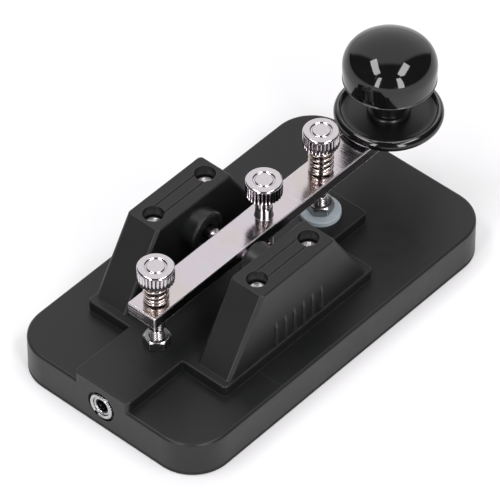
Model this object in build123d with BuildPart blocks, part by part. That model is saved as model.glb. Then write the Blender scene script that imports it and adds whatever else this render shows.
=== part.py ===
from build123d import *
import os

os.makedirs("parts", exist_ok=True)

# Driving dimensions in millimetres. +X runs from the jack end to the knob end,
# Z = 0 is the underside of the anti-slip mat.

# base
base_length = 126.0
base_width = 70.0
base_corner = 12.5
base_top = 12.1
base_edge = 0.9
wall = 2.5
roof = 2.6
mat_height = 1.5
cover_height = 2.0
cover_gap = 0.3
base_cover_post = 3.5
base_tower_post = 3.6
post_bore = 1.5
hole_clearance = 0.1
thread_fit = 0.01

# raised deck
deck_top = 15.7
deck_edge = 0.45
strip_half_width = 10.0
strip_far_x = 37.2
pad_half_length = 31.1
pad_half_width = 25.7
pad_corner = 1.5
inside_top = deck_top - roof

# pivot towers
tower_x = -9.7
tower_inner = 13.2
tower_outer = 25.0
tower_top = 38.4
tower_top_length = 30.0
tower_foot_length = 57.6
tower_wall = 2.2
tower_end_wall = 2.6
tower_post_radius = 4.2
tower_post_top_gap = 1.0
tower_corner = 1.3
tower_screw_pitch = 21.3
tower_screw_y = 19.1
head_bore_radius = 3.1
head_bore_depth = 5.5
tower_screw_hole = 1.65
tower_screw_radius = 1.49
tower_screw_length = 25.0
tower_screw_head = 2.8
tower_screw_head_height = 2.0
groove_inner = 2.05
groove_outer = 1.65
groove_width = 0.6
groove_depth = 0.3
groove_end_gap = 3.6
rib_count = 6
rib_pitch = 3.75
rib_height = 9.8
rib_thickness = 0.8
rib_depth = 0.55

# pivot
pivot_x = tower_x
pivot_z = 30.7
pin_radius = 2.0
pin_tip_radius = 0.4
pin_tip_y = 4.2
pin_cone_y = 6.2
boss_radius = 5.75
boss_end_radius = 6.0
boss_end_y = 8.0
boss_rounding = 0.9
spigot_radius = 2.95
spigot_clearance = 0.02
spigot_bore_reach = 3.0

# lever and knob
lever_start = -46.3
lever_end = 63.7
lever_width = 10.0
lever_low = 28.7
lever_high = 32.7
lever_edge = 0.35
knob_x = 57.3
knob_seat = 34.4
knob_screw_radius = 1.97
knob_screw_length = 16.5
knob_screw_hole = 2.1
knob_screw_head = 3.9
knob_screw_head_height = 2.4

# thumbscrews
screw_radius = 2.5
screw_length = 19.0
head_radius = 5.3
head_height = 5.0
flute_count = 28
flute_radius = 0.36
thread_clearance = 0.05
face_groove_outer = 3.05
face_groove_inner = 2.35
face_groove_depth = 0.5
nose_radius = 1.7
nose_length = 2.0
stop_x = -40.15
tension_x = 4.1
contact_x = 28.1
touch_gap = 0.03
contact_gap = 1.1

# lower hardware
nut_flats = 7.0
nut_height = 3.2
bolt_radius = 2.0
bolt_head_radius = 4.0
bolt_head_height = 2.6
tag_height = 0.5
tag_tail = 8.0
tag_low = 7.0
washer_radius = 6.0
washer_height = 1.5
stop_bolt_top = inside_top + 8.4
contact_bolt_top = inside_top - tag_height + 10.1
stop_head_low = stop_bolt_top + touch_gap + screw_length
contact_head_low = contact_bolt_top + contact_gap + screw_length
tension_head_low = 41.05

# return spring
seat_radius = 4.0
seat_flange_height = 1.2
seat_high = deck_top + seat_flange_height
seat_stem_radius = 1.5
seat_stem_hole = 1.6
seat_stem_low = 9.7
seat_pilot_radius = 1.9
seat_pilot_height = 1.4
seat_nut_flats = 5.5
seat_nut_height = 2.4
tension_shoulder = 24.0
return_mean_radius = 2.45
return_wire_radius = 0.3
return_turns = 6.0

# lock springs
lock_mean_radius = 3.2
lock_wire_radius = 0.48
lock_turns = 4.75
spring_gap = 0.06

# jack
jack_z = 8.1
jack_bore = 1.8
jack_bush_radius = 3.0
jack_nut_radius = 4.1
jack_recess_gap = 0.75
jack_recess_depth = 0.9
jack_length = 13.0
tip_contact_y = -2.4
sleeve_contact_y = 3.5
lug_reach = 3.0
contact_size = (9.0, 0.4, 3.0)
jack_end = -base_length / 2

wire_radius = 0.65

tower_screw_xs = (tower_x - tower_screw_pitch / 2, tower_x + tower_screw_pitch / 2)
cover_screw_points = [(x, y) for x in (-51.0, 51.0) for y in (-25.0, 25.0)]
tower_screw_points = [(x, y) for x in tower_screw_xs for y in (-tower_screw_y, tower_screw_y)]


def finish(builder, name):
    """Names one finished piece and writes its file."""
    builder.part.label = name
    export_step(builder.part, "parts/" + name + ".step")


# ---------------------------------------------------------------- base shell
with BuildPart() as base_shell:
    # plate with rounded corners and a softened top edge
    with BuildSketch(Plane.XY.offset(mat_height)):
        RectangleRounded(base_length, base_width, base_corner)
    extrude(amount=base_top - mat_height)
    fillet(base_shell.edges().group_by(Axis.Z)[-1], base_edge)
    # raised strip that widens into a pad under each tower
    with BuildSketch(Plane.XY.offset(base_top - 2.0)) as deck_outline:
        with Locations(((strip_far_x + jack_end) / 2, 0)):
            Rectangle(strip_far_x - jack_end, 2 * strip_half_width)
        with Locations((tower_x, 0)):
            Rectangle(2 * pad_half_length, 2 * pad_half_width)
        outer = deck_outline.vertices().filter_by(
            lambda v: abs(v.Y) > 20 or v.X > 30 or v.X < -60
        )
        fillet(outer, pad_corner)
    extrude(amount=deck_top - base_top + 2.0)
    fillet(base_shell.edges().group_by(Axis.Z)[-1], deck_edge)
    # hollow inside, deeper under the deck
    with BuildSketch(Plane.XY.offset(mat_height)):
        RectangleRounded(base_length - 2 * wall, base_width - 2 * wall, base_corner - wall)
    extrude(amount=base_top - roof - mat_height, mode=Mode.SUBTRACT)
    with BuildSketch(Plane.XY.offset(base_top - roof - 0.5)):
        with Locations(((strip_far_x + jack_end) / 2, 0)):
            Rectangle(strip_far_x - jack_end - 2 * wall, 2 * (strip_half_width - wall))
        with Locations((tower_x, 0)):
            Rectangle(2 * (pad_half_length - wall), 2 * (pad_half_width - wall))
    extrude(amount=inside_top - base_top + roof + 0.5, mode=Mode.SUBTRACT)
    # screw posts for the bottom cover and the towers
    with BuildSketch(Plane.XY.offset(mat_height + cover_height)):
        with Locations(*cover_screw_points):
            Circle(base_cover_post)
    extrude(amount=base_top - roof - mat_height - cover_height + 0.5)
    with BuildSketch(Plane.XY.offset(mat_height + cover_height)):
        with Locations(*tower_screw_points):
            Circle(base_tower_post)
    extrude(amount=inside_top - mat_height - cover_height + 0.5)
    with BuildSketch(Plane.XY.offset(mat_height + cover_height)):
        with Locations(*cover_screw_points):
            Circle(post_bore)
    extrude(amount=5.5, mode=Mode.SUBTRACT)
    with BuildSketch(Plane.XY.offset(5.0)):
        with Locations(*tower_screw_points):
            Circle(post_bore)
    extrude(amount=deck_top, mode=Mode.SUBTRACT)
    # holes in the deck for the stop, the spring seat and the contact
    with BuildSketch(Plane.XY.offset(inside_top - 1)):
        with Locations((stop_x, 0), (contact_x, 0)):
            Circle(bolt_radius + hole_clearance)
        with Locations((tension_x, 0)):
            Circle(seat_stem_hole)
    extrude(amount=roof + 2, mode=Mode.SUBTRACT)
    # jack hole with a shallow recess for the ring nut
    with BuildSketch(Plane.YZ.offset(jack_end - 1)):
        with Locations((0, jack_z)):
            Circle(jack_bush_radius + hole_clearance)
    extrude(amount=wall + 2, mode=Mode.SUBTRACT)
    with BuildSketch(Plane.YZ.offset(jack_end - 1)):
        with Locations((0, jack_z)):
            Circle(jack_nut_radius + jack_recess_gap)
    extrude(amount=1 + jack_recess_depth, mode=Mode.SUBTRACT)
finish(base_shell, "base_shell")

# -------------------------------------------------------------- bottom cover
with BuildPart() as bottom_cover:
    with BuildSketch(Plane.XY.offset(mat_height)):
        RectangleRounded(
            base_length - 2 * wall - cover_gap, base_width - 2 * wall - cover_gap, base_corner - wall
        )
    extrude(amount=cover_height)
    with Locations(*[Pos(x, y, mat_height) * Rot(180, 0, 0) for x, y in cover_screw_points]):
        CounterSinkHole(radius=1.6, counter_sink_radius=2.9, depth=cover_height)
finish(bottom_cover, "bottom_cover")

with BuildPart() as cover_screws:
    # countersunk cross-head screws, head flush with the cover
    with Locations(*[(x, y, mat_height) for x, y in cover_screw_points]):
        Cylinder(1.48, 6.5, align=(Align.CENTER, Align.CENTER, Align.MIN))
        Cone(2.75, 1.48, 1.27, align=(Align.CENTER, Align.CENTER, Align.MIN))
        Box(3.0, 0.6, 0.8, align=(Align.CENTER, Align.CENTER, Align.MIN), mode=Mode.SUBTRACT)
        Box(0.6, 3.0, 0.8, align=(Align.CENTER, Align.CENTER, Align.MIN), mode=Mode.SUBTRACT)
finish(cover_screws, "cover_screws")

with BuildPart() as anti_slip_mat:
    with BuildSketch():
        RectangleRounded(base_length, base_width, base_corner)
    extrude(amount=mat_height)
    fillet(anti_slip_mat.edges().group_by(Axis.Z)[0], 0.4)
finish(anti_slip_mat, "anti_slip_mat")


# -------------------------------------------------------------------- towers
def build_tower(side):
    """One moulded pivot tower; side is +1 for the left one and -1 for the right one."""
    face_y = tower_outer if side > 0 else -tower_inner
    depth = tower_outer - tower_inner
    half_top = tower_top_length / 2
    half_foot = tower_foot_length / 2
    height = tower_top - deck_top
    with BuildPart() as tower:
        with BuildSketch(Plane.XZ.offset(-face_y)):
            with BuildLine():
                Polyline(
                    (tower_x - half_foot, deck_top),
                    (tower_x + half_foot, deck_top),
                    (tower_x + half_top, tower_top),
                    (tower_x - half_top, tower_top),
                    close=True,
                )
            make_face()
        extrude(amount=depth)
        slopes = tower.edges().filter_by(lambda e: e.length > height and abs((e % 0.5).Z) > 0.5)
        fillet(slopes, tower_corner)
        fillet(tower.edges().group_by(Axis.Z)[-1], 0.6)
        # thin upright ribs at the foot of the outer face
        for i in range(rib_count):
            rib_x = tower_x + (i - (rib_count - 1) / 2) * rib_pitch - rib_thickness / 2
            with BuildSketch(Plane.YZ.offset(rib_x)):
                with BuildLine():
                    Polyline(
                        (side * (tower_outer - 0.5), deck_top),
                        (side * (tower_outer + rib_depth), deck_top),
                        (side * (tower_outer + rib_depth * 0.75), deck_top + rib_height * 0.7),
                        (side * (tower_outer - 0.5), deck_top + rib_height * 1.12),
                        close=True,
                    )
                make_face()
            extrude(amount=rib_thickness)
        # hollow from below
        slope = (half_foot - half_top) / height
        inner_half_top = half_foot - tower_end_wall - slope * (height - tower_wall)
        with BuildSketch(Plane.XZ.offset(-face_y + tower_wall)):
            with BuildLine():
                Polyline(
                    (tower_x - half_foot + tower_end_wall, deck_top),
                    (tower_x + half_foot - tower_end_wall, deck_top),
                    (tower_x + inner_half_top, tower_top - tower_wall),
                    (tower_x - inner_half_top, tower_top - tower_wall),
                    close=True,
                )
            make_face()
        extrude(amount=depth - 2 * tower_wall, mode=Mode.SUBTRACT)
        # screw posts, clearance holes and deep head bores
        with BuildSketch(Plane.XY.offset(deck_top)):
            with Locations(*[(x, side * tower_screw_y) for x in tower_screw_xs]):
                Circle(tower_post_radius)
        extrude(amount=height - tower_post_top_gap)
        with Locations(*[(x, side * tower_screw_y, tower_top) for x in tower_screw_xs]):
            CounterBoreHole(
                radius=tower_screw_hole,
                counter_bore_radius=head_bore_radius,
                counter_bore_depth=head_bore_depth,
                depth=height,
            )
        # bore for the pivot boss in the inner wall
        with BuildSketch(Plane.XZ.offset(spigot_bore_reach - side * tower_inner)):
            with Locations((pivot_x, pivot_z)):
                Circle(spigot_radius + spigot_clearance)
        extrude(amount=-2 * spigot_bore_reach, mode=Mode.SUBTRACT)
        # two shallow grooves between the screw holes
        with BuildSketch(Plane.XY.offset(tower_top)):
            with Locations(
                (tower_x, side * (tower_screw_y - groove_inner)),
                (tower_x, side * (tower_screw_y + groove_outer)),
            ):
                SlotOverall(tower_screw_pitch - groove_end_gap, groove_width)
        extrude(amount=-groove_depth, mode=Mode.SUBTRACT)
    return tower


tower_left = build_tower(1)
finish(tower_left, "tower_left")
tower_right = build_tower(-1)
finish(tower_right, "tower_right")

with BuildPart() as tower_screws:
    # long self-tapping screws with cross recesses, heads deep in the tower bores
    head_seat = tower_top - head_bore_depth
    with BuildSketch(Plane.XY.offset(head_seat)):
        with Locations(*tower_screw_points):
            Circle(tower_screw_head)
    extrude(amount=tower_screw_head_height)
    fillet(tower_screws.edges().group_by(Axis.Z)[-1], 0.6)
    with BuildSketch(Plane.XY.offset(head_seat)):
        with Locations(*tower_screw_points):
            Circle(tower_screw_radius)
    extrude(amount=-tower_screw_length)
    with BuildSketch(Plane.XY.offset(head_seat + tower_screw_head_height)):
        with Locations(*tower_screw_points):
            Rectangle(3.0, 0.7, rotation=30)
            Rectangle(0.7, 3.0, rotation=30)
    extrude(amount=-1.2, mode=Mode.SUBTRACT)
finish(tower_screws, "tower_screws")


# --------------------------------------------------------------------- pivot
def build_pivot_boss(side):
    """Moulded boss that flares towards the lever and carries one pivot pin."""
    with BuildPart() as boss:
        with BuildSketch(Plane.XY.offset(pivot_z)):
            with BuildLine():
                edge = boss_end_y + boss_rounding
                Polyline(
                    (pivot_x + boss_end_radius - boss_rounding, side * boss_end_y),
                    (pivot_x + 4.4, side * boss_end_y),
                    (pivot_x + 4.0, side * (boss_end_y + 0.4)),
                    (pivot_x + 2.4, side * (boss_end_y + 0.4)),
                    (pivot_x + 2.02, side * (boss_end_y + 0.9)),
                    (pivot_x + 2.02, side * (tower_inner + tower_wall)),
                    (pivot_x + spigot_radius, side * (tower_inner + tower_wall)),
                    (pivot_x + spigot_radius, side * tower_inner),
                    (pivot_x + boss_radius, side * tower_inner),
                    (pivot_x + boss_end_radius, side * edge),
                )
                RadiusArc(
                    (pivot_x + boss_end_radius, side * edge),
                    (pivot_x + boss_end_radius - boss_rounding, side * boss_end_y),
                    side * boss_rounding,
                )
            make_face()
        revolve(axis=Axis((pivot_x, 0, pivot_z), (0, 1, 0)))
    return boss


def build_pivot_pin(side):
    """Screw with a cone point that bears in the side of the lever."""
    tail_y = tower_inner + tower_wall + nut_height + 0.9
    with BuildPart() as pin:
        with BuildSketch(Plane.XY.offset(pivot_z)):
            with BuildLine():
                Polyline(
                    (pivot_x, side * pin_tip_y),
                    (pivot_x + pin_tip_radius, side * pin_tip_y),
                    (pivot_x + pin_radius, side * pin_cone_y),
                    (pivot_x + pin_radius, side * (tail_y - 0.4)),
                    (pivot_x + pin_radius - 0.4, side * tail_y),
                    (pivot_x, side * tail_y),
                    close=True,
                )
            make_face()
        revolve(axis=Axis((pivot_x, 0, pivot_z), (0, 1, 0)))
        # screwdriver slot in the tail
        with Locations((pivot_x, side * tail_y, pivot_z)):
            Box(0.7, 1.8, 2 * pin_radius + 1, mode=Mode.SUBTRACT)
    return pin


pivot_boss_left = build_pivot_boss(1)
finish(pivot_boss_left, "pivot_boss_left")
pivot_boss_right = build_pivot_boss(-1)
finish(pivot_boss_right, "pivot_boss_right")
pivot_pin_left = build_pivot_pin(1)
finish(pivot_pin_left, "pivot_pin_left")
pivot_pin_right = build_pivot_pin(-1)
finish(pivot_pin_right, "pivot_pin_right")

with BuildPart() as pivot_nuts:
    # one lock nut inside each tower
    nut_low = tower_inner + tower_wall
    with BuildSketch(Plane.XZ.offset(-nut_low - nut_height)):
        with Locations((pivot_x, pivot_z)):
            RegularPolygon(nut_flats / 2, 6, major_radius=False)
            Circle(pin_radius + thread_fit, mode=Mode.SUBTRACT)
    extrude(amount=nut_height)
    with BuildSketch(Plane.XZ.offset(nut_low)):
        with Locations((pivot_x, pivot_z)):
            RegularPolygon(nut_flats / 2, 6, major_radius=False)
            Circle(pin_radius + thread_fit, mode=Mode.SUBTRACT)
    extrude(amount=nut_height)
finish(pivot_nuts, "pivot_nuts")

# --------------------------------------------------------------------- lever
with BuildPart() as lever_bar:
    with BuildSketch(Plane.XY.offset(lever_low)):
        with Locations(((lever_start + lever_end) / 2, 0)):
            RectangleRounded(lever_end - lever_start, lever_width, 0.4)
    extrude(amount=lever_high - lever_low)
    fillet(lever_bar.edges().group_by(Axis.Z)[-1], lever_edge)
    chamfer(lever_bar.edges().group_by(Axis.Z)[0], 0.2)
    # tapped holes for the thumbscrews, plain hole for the knob screw
    with BuildSketch(Plane.XY.offset(lever_low)):
        with Locations((stop_x, 0), (tension_x, 0), (contact_x, 0)):
            Circle(screw_radius + thread_clearance)
        with Locations((knob_x, 0)):
            Circle(knob_screw_hole)
    extrude(amount=lever_high - lever_low, mode=Mode.SUBTRACT)
    hole_rims = lever_bar.edges().filter_by(GeomType.CIRCLE).filter_by(
        lambda e: abs(e.radius - screw_radius - thread_clearance) < 0.01
    )
    chamfer(hole_rims.group_by(Axis.Z)[-1], 0.25)
    # cone seats for the pivot pins, one in each side
    for side in (-1, 1):
        with BuildSketch(Plane.XY.offset(pivot_z)):
            with BuildLine():
                Polyline(
                    (pivot_x, side * (lever_width / 2 + 0.5)),
                    (pivot_x + 1.51, side * (lever_width / 2 + 0.5)),
                    (pivot_x + pin_tip_radius + 0.07, side * (pin_tip_y - 0.05)),
                    (pivot_x, side * (pin_tip_y - 0.05)),
                    close=True,
                )
            make_face()
        revolve(axis=Axis((pivot_x, 0, pivot_z), (0, 1, 0)), mode=Mode.SUBTRACT)
finish(lever_bar, "lever_bar")

# ---------------------------------------------------------------------- knob
with BuildPart() as knob_skirt:
    # dished finger guard with a raised rim
    with BuildSketch(Plane.XZ):
        with BuildLine():
            Polyline(
                (knob_x + knob_screw_hole, knob_seat),
                (knob_x + knob_screw_hole, lever_high),
                (knob_x + 14.6, lever_high),
            )
            ThreePointArc((knob_x + 14.6, lever_high), (knob_x + 15.6, 33.7), (knob_x + 14.68, 35.8))
            ThreePointArc((knob_x + 14.68, 35.8), (knob_x + 14.42, 35.98), (knob_x + 14.1, 35.86))
            ThreePointArc((knob_x + 14.1, 35.86), (knob_x + 12.9, 34.8), (knob_x + 11.3, knob_seat))
            Line((knob_x + 11.3, knob_seat), (knob_x + knob_screw_hole, knob_seat))
        make_face()
    revolve(axis=Axis((knob_x, 0, 0), (0, 0, 1)))
finish(knob_skirt, "knob_skirt")

with BuildPart() as knob_grip:
    # waisted neck under a domed top
    with BuildSketch(Plane.XZ):
        with BuildLine():
            Polyline(
                (knob_x, 46.5),
                (knob_x + 1.99, 46.5),
                (knob_x + 1.99, knob_seat),
                (knob_x + 6.3, knob_seat),
                (knob_x + 6.3, 35.2),
            )
            ThreePointArc((knob_x + 6.3, 35.2), (knob_x + 5.98, 35.98), (knob_x + 5.2, 36.3))
            ThreePointArc((knob_x + 5.2, 36.3), (knob_x + 5.06, 36.36), (knob_x + 5.0, 36.5))
            Line((knob_x + 5.0, 36.5), (knob_x + 5.0, 42.0))
            ThreePointArc((knob_x + 5.0, 42.0), (knob_x + 6.0, 45.6), (knob_x + 9.0, 47.5))
            Line((knob_x + 9.0, 47.5), (knob_x + 12.6, 46.95))
            ThreePointArc((knob_x + 12.6, 46.95), (knob_x + 13.2, 47.08), (knob_x + 13.46, 47.5))
            ThreePointArc((knob_x + 13.46, 47.5), (knob_x + 13.43, 47.68), (knob_x + 13.31, 47.8))
            ThreePointArc((knob_x + 13.31, 47.8), (knob_x + 13.46, 50.0), (knob_x + 13.5, 52.2))
            ThreePointArc((knob_x + 13.5, 52.2), (knob_x + 12.82, 55.21), (knob_x + 10.9, 57.64))
            ThreePointArc((knob_x + 10.9, 57.64), (knob_x + 5.785, 60.506), (knob_x + 0.5, 61.5))
            Line((knob_x + 0.5, 61.5), (knob_x, 61.5))
            Line((knob_x, 61.5), (knob_x, 46.5))
        make_face()
    revolve(axis=Axis((knob_x, 0, 0), (0, 0, 1)))
finish(knob_grip, "knob_grip")

with BuildPart() as knob_screw:
    # pan-head screw from under the lever up into the grip
    with BuildSketch(Plane.XY.offset(lever_low - knob_screw_head_height)):
        with Locations((knob_x, 0)):
            Circle(knob_screw_head)
    extrude(amount=knob_screw_head_height)
    fillet(knob_screw.edges().group_by(Axis.Z)[0], 1.1)
    with BuildSketch(Plane.XY.offset(lever_low)):
        with Locations((knob_x, 0)):
            Circle(knob_screw_radius)
    extrude(amount=knob_screw_length)
    with BuildSketch(Plane.XY.offset(lever_low - knob_screw_head_height)):
        with Locations((knob_x, 0)):
            Rectangle(4.0, 0.9)
            Rectangle(0.9, 4.0)
    extrude(amount=1.4, mode=Mode.SUBTRACT)
finish(knob_screw, "knob_screw")


# --------------------------------------------------------------- thumbscrews
def build_thumbscrew(x, head_low, nose):
    """Fluted-head adjusting screw; nose adds a thinner pilot at its lower end."""
    high = head_low + head_height
    with BuildPart() as screw:
        with BuildSketch(Plane.XY.offset(head_low)):
            with Locations((x, 0)):
                Circle(head_radius)
        extrude(amount=head_height)
        chamfer(screw.edges().group_by(Axis.Z)[-1], 0.45)
        chamfer(screw.edges().group_by(Axis.Z)[0], 0.25)
        with BuildSketch(Plane.XY.offset(head_low)):
            with Locations((x, 0)):
                with PolarLocations(head_radius + 0.04, flute_count):
                    Circle(flute_radius)
        extrude(amount=head_height, mode=Mode.SUBTRACT)
        # ring groove in the head's face
        with BuildSketch(Plane.XY.offset(high)):
            with Locations((x, 0)):
                Circle(face_groove_outer)
                Circle(face_groove_inner, mode=Mode.SUBTRACT)
        extrude(amount=-face_groove_depth, mode=Mode.SUBTRACT)
        with BuildSketch(Plane.XY.offset(head_low)):
            with Locations((x, 0)):
                Circle(screw_radius)
        extrude(amount=-(screw_length - (nose_length if nose else 0.0)))
        if nose:
            with BuildSketch(Plane.XY.offset(head_low - screw_length)):
                with Locations((x, 0)):
                    Circle(nose_radius)
            extrude(amount=nose_length)
        chamfer(screw.edges().group_by(Axis.Z)[0], 0.35)
    return screw


stop_screw = build_thumbscrew(stop_x, stop_head_low, False)
finish(stop_screw, "stop_screw")
tension_screw = build_thumbscrew(tension_x, tension_head_low, True)
finish(tension_screw, "tension_screw")
contact_screw = build_thumbscrew(contact_x, contact_head_low, False)
finish(contact_screw, "contact_screw")


# ------------------------------------------------------------------- springs
def build_coil(x, low, high, mean_radius, wire, turns):
    """Round-wire helical spring standing between two levels."""
    height = high - low - 2 * wire
    with BuildPart() as coil:
        with BuildLine() as path:
            Helix(height / turns, height, mean_radius, center=(x, 0, low + wire))
        with BuildSketch(Plane(path.line @ 0, z_dir=path.line % 0)):
            Circle(wire)
        sweep(is_frenet=True)
    return coil


stop_lock_spring = build_coil(
    stop_x,
    lever_high + spring_gap,
    stop_head_low - spring_gap,
    lock_mean_radius,
    lock_wire_radius,
    lock_turns,
)
finish(stop_lock_spring, "stop_lock_spring")
contact_lock_spring = build_coil(
    contact_x,
    lever_high + spring_gap,
    contact_head_low - spring_gap,
    lock_mean_radius,
    lock_wire_radius,
    lock_turns,
)
finish(contact_lock_spring, "contact_lock_spring")
return_spring = build_coil(
    tension_x,
    seat_high + spring_gap,
    tension_shoulder,
    return_mean_radius,
    return_wire_radius,
    return_turns,
)
finish(return_spring, "return_spring")


# ------------------------------------------------------------ lower hardware
def build_bolt(x, seat, top):
    """Pan-head bolt under the deck with its thread standing up through it."""
    with BuildPart() as bolt:
        with BuildSketch(Plane.XY.offset(seat - bolt_head_height)):
            with Locations((x, 0)):
                Circle(bolt_head_radius)
        extrude(amount=bolt_head_height)
        fillet(bolt.edges().group_by(Axis.Z)[0], 1.2)
        with BuildSketch(Plane.XY.offset(seat)):
            with Locations((x, 0)):
                Circle(bolt_radius)
        extrude(amount=top - seat)
        chamfer(bolt.edges().group_by(Axis.Z)[-1], 0.3)
        with BuildSketch(Plane.XY.offset(seat - bolt_head_height)):
            with Locations((x, 0)):
                Rectangle(2 * bolt_head_radius, 1.0)
        extrude(amount=1.2, mode=Mode.SUBTRACT)
    return bolt


def build_hex_nut(x, low, flats, height, bore):
    """Hexagon nut with chamfered corners, one flat square to the lever's corner."""
    with BuildPart() as nut:
        with BuildSketch(Plane.XY.offset(low)):
            with Locations((x, 0)):
                RegularPolygon(flats / 2, 6, major_radius=False, rotation=12)
        extrude(amount=height)
        with Locations((x, 0, low)):
            Cone(
                flats / 2 * 0.95 + height * 1.732,
                flats / 2 * 0.95,
                height,
                align=(Align.CENTER, Align.CENTER, Align.MIN),
                mode=Mode.INTERSECT,
            )
            Cylinder(
                bore, height, align=(Align.CENTER, Align.CENTER, Align.MIN), mode=Mode.SUBTRACT
            )
    return nut


stop_bolt = build_bolt(stop_x, inside_top, stop_bolt_top)
finish(stop_bolt, "stop_bolt")
stop_nut = build_hex_nut(stop_x, deck_top, nut_flats, nut_height, bolt_radius + thread_fit)
finish(stop_nut, "stop_nut")
contact_bolt = build_bolt(contact_x, inside_top - tag_height, contact_bolt_top)
finish(contact_bolt, "contact_bolt")
contact_nut = build_hex_nut(
    contact_x, deck_top + washer_height, nut_flats, nut_height, bolt_radius + thread_fit
)
finish(contact_nut, "contact_nut")

with BuildPart() as contact_washer:
    with BuildSketch(Plane.XY.offset(deck_top)):
        with Locations((contact_x, 0)):
            Circle(washer_radius)
            Circle(bolt_radius + hole_clearance, mode=Mode.SUBTRACT)
    extrude(amount=washer_height)
    fillet(contact_washer.edges().group_by(Axis.Z)[-1].sort_by(SortBy.LENGTH)[-1], 0.3)
finish(contact_washer, "contact_washer")


def build_tag(x, hole):
    """Solder tag: a ring under the deck with a tail bent down for its wire."""
    with BuildPart() as tag:
        with BuildSketch(Plane.XY.offset(inside_top - tag_height)):
            with Locations((x, 0)):
                Circle(4.0)
            with Locations((x - 5.0, 0)):
                Rectangle(6.0, 3.0)
            with Locations((x, 0)):
                Circle(hole, mode=Mode.SUBTRACT)
        extrude(amount=tag_height)
        with BuildSketch(Plane.YZ.offset(x - tag_tail)):
            with Locations((0, (inside_top + tag_low) / 2)):
                Rectangle(3.0, inside_top - tag_low)
        extrude(amount=0.5)
    return tag


contact_tag = build_tag(contact_x, bolt_radius + hole_clearance)
finish(contact_tag, "contact_tag")
spring_seat_tag = build_tag(tension_x, seat_stem_hole)
finish(spring_seat_tag, "spring_seat_tag")

with BuildPart() as spring_seat:
    # flanged post that centres the return spring and carries its current
    with BuildSketch(Plane.XY.offset(deck_top)):
        with Locations((tension_x, 0)):
            Circle(seat_radius)
    extrude(amount=seat_high - deck_top)
    with BuildSketch(Plane.XY.offset(seat_high)):
        with Locations((tension_x, 0)):
            Circle(seat_pilot_radius)
    extrude(amount=seat_pilot_height)
    chamfer(spring_seat.edges().group_by(Axis.Z)[-1], 0.3)
    with BuildSketch(Plane.XY.offset(deck_top)):
        with Locations((tension_x, 0)):
            Circle(seat_stem_radius)
    extrude(amount=-(deck_top - seat_stem_low))
finish(spring_seat, "spring_seat")

with BuildPart() as spring_seat_nut:
    with BuildSketch(Plane.XY.offset(inside_top - tag_height - seat_nut_height)):
        with Locations((tension_x, 0)):
            RegularPolygon(seat_nut_flats / 2, 6, major_radius=False)
            Circle(seat_stem_radius + thread_fit, mode=Mode.SUBTRACT)
    extrude(amount=seat_nut_height)
finish(spring_seat_nut, "spring_seat_nut")

# ---------------------------------------------------------------------- jack
with BuildPart() as jack_housing:
    # moulded body behind the end wall
    with Locations((jack_end + wall, 0, jack_z)):
        Box(jack_length, 9.0, 8.6, align=(Align.MIN, Align.CENTER, Align.CENTER))
    with BuildSketch(Plane.YZ.offset(jack_end + wall)):
        with Locations((0, jack_z)):
            Circle(jack_bush_radius + thread_fit)
    extrude(amount=5.5, mode=Mode.SUBTRACT)
    with BuildSketch(Plane.YZ.offset(jack_end + wall)):
        with Locations((0, jack_z)):
            Circle(jack_bore + 0.15)
    extrude(amount=11.5, mode=Mode.SUBTRACT)
    # slots for the two contacts
    housing_end = jack_end + wall + jack_length
    with Locations((housing_end, tip_contact_y, jack_z), (housing_end, sleeve_contact_y, jack_z)):
        Box(6.0, 0.44, 3.04, align=(Align.MAX, Align.CENTER, Align.CENTER), mode=Mode.SUBTRACT)
finish(jack_housing, "jack_housing")

with BuildPart() as jack_bush:
    # threaded metal sleeve through the end wall
    with BuildSketch(Plane.YZ.offset(jack_end + 0.15)):
        with Locations((0, jack_z)):
            Circle(jack_bush_radius)
            Circle(jack_bore, mode=Mode.SUBTRACT)
    extrude(amount=7.85)
    chamfer(jack_bush.edges().group_by(Axis.X)[0].sort_by(SortBy.LENGTH)[0], 0.25)
finish(jack_bush, "jack_bush")

with BuildPart() as jack_nut:
    # slotted ring nut in the recess
    with BuildSketch(Plane.YZ.offset(jack_end - 0.25)):
        with Locations((0, jack_z)):
            Circle(jack_nut_radius)
            Circle(jack_bush_radius + thread_fit, mode=Mode.SUBTRACT)
    extrude(amount=1.15)
    chamfer(jack_nut.edges().group_by(Axis.X)[0].sort_by(SortBy.LENGTH)[-1], 0.25)
    with Locations((jack_end - 0.25, 0, jack_z)):
        Box(1.0, 1.0, 2 * jack_nut_radius + 1, rotation=(20, 0, 0), mode=Mode.SUBTRACT)
finish(jack_nut, "jack_nut")

lug_end = jack_end + wall + jack_length + lug_reach
with BuildPart() as jack_tip_contact:
    with Locations((lug_end, tip_contact_y, jack_z)):
        Box(*contact_size, align=(Align.MAX, Align.CENTER, Align.CENTER))
finish(jack_tip_contact, "jack_tip_contact")

with BuildPart() as jack_sleeve_contact:
    with Locations((lug_end, sleeve_contact_y, jack_z)):
        Box(*contact_size, align=(Align.MAX, Align.CENTER, Align.CENTER))
finish(jack_sleeve_contact, "jack_sleeve_contact")


# --------------------------------------------------------------------- wires
def build_wire(points, bend):
    """Insulated hook-up wire laid flat inside the base."""
    with BuildPart() as wire:
        with BuildLine(Plane.XY.offset(jack_z)) as route:
            FilletPolyline(*points, radius=bend)
        with BuildSketch(Plane(route.line @ 0, z_dir=route.line % 0)):
            Circle(wire_radius)
        sweep()
    return wire


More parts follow.
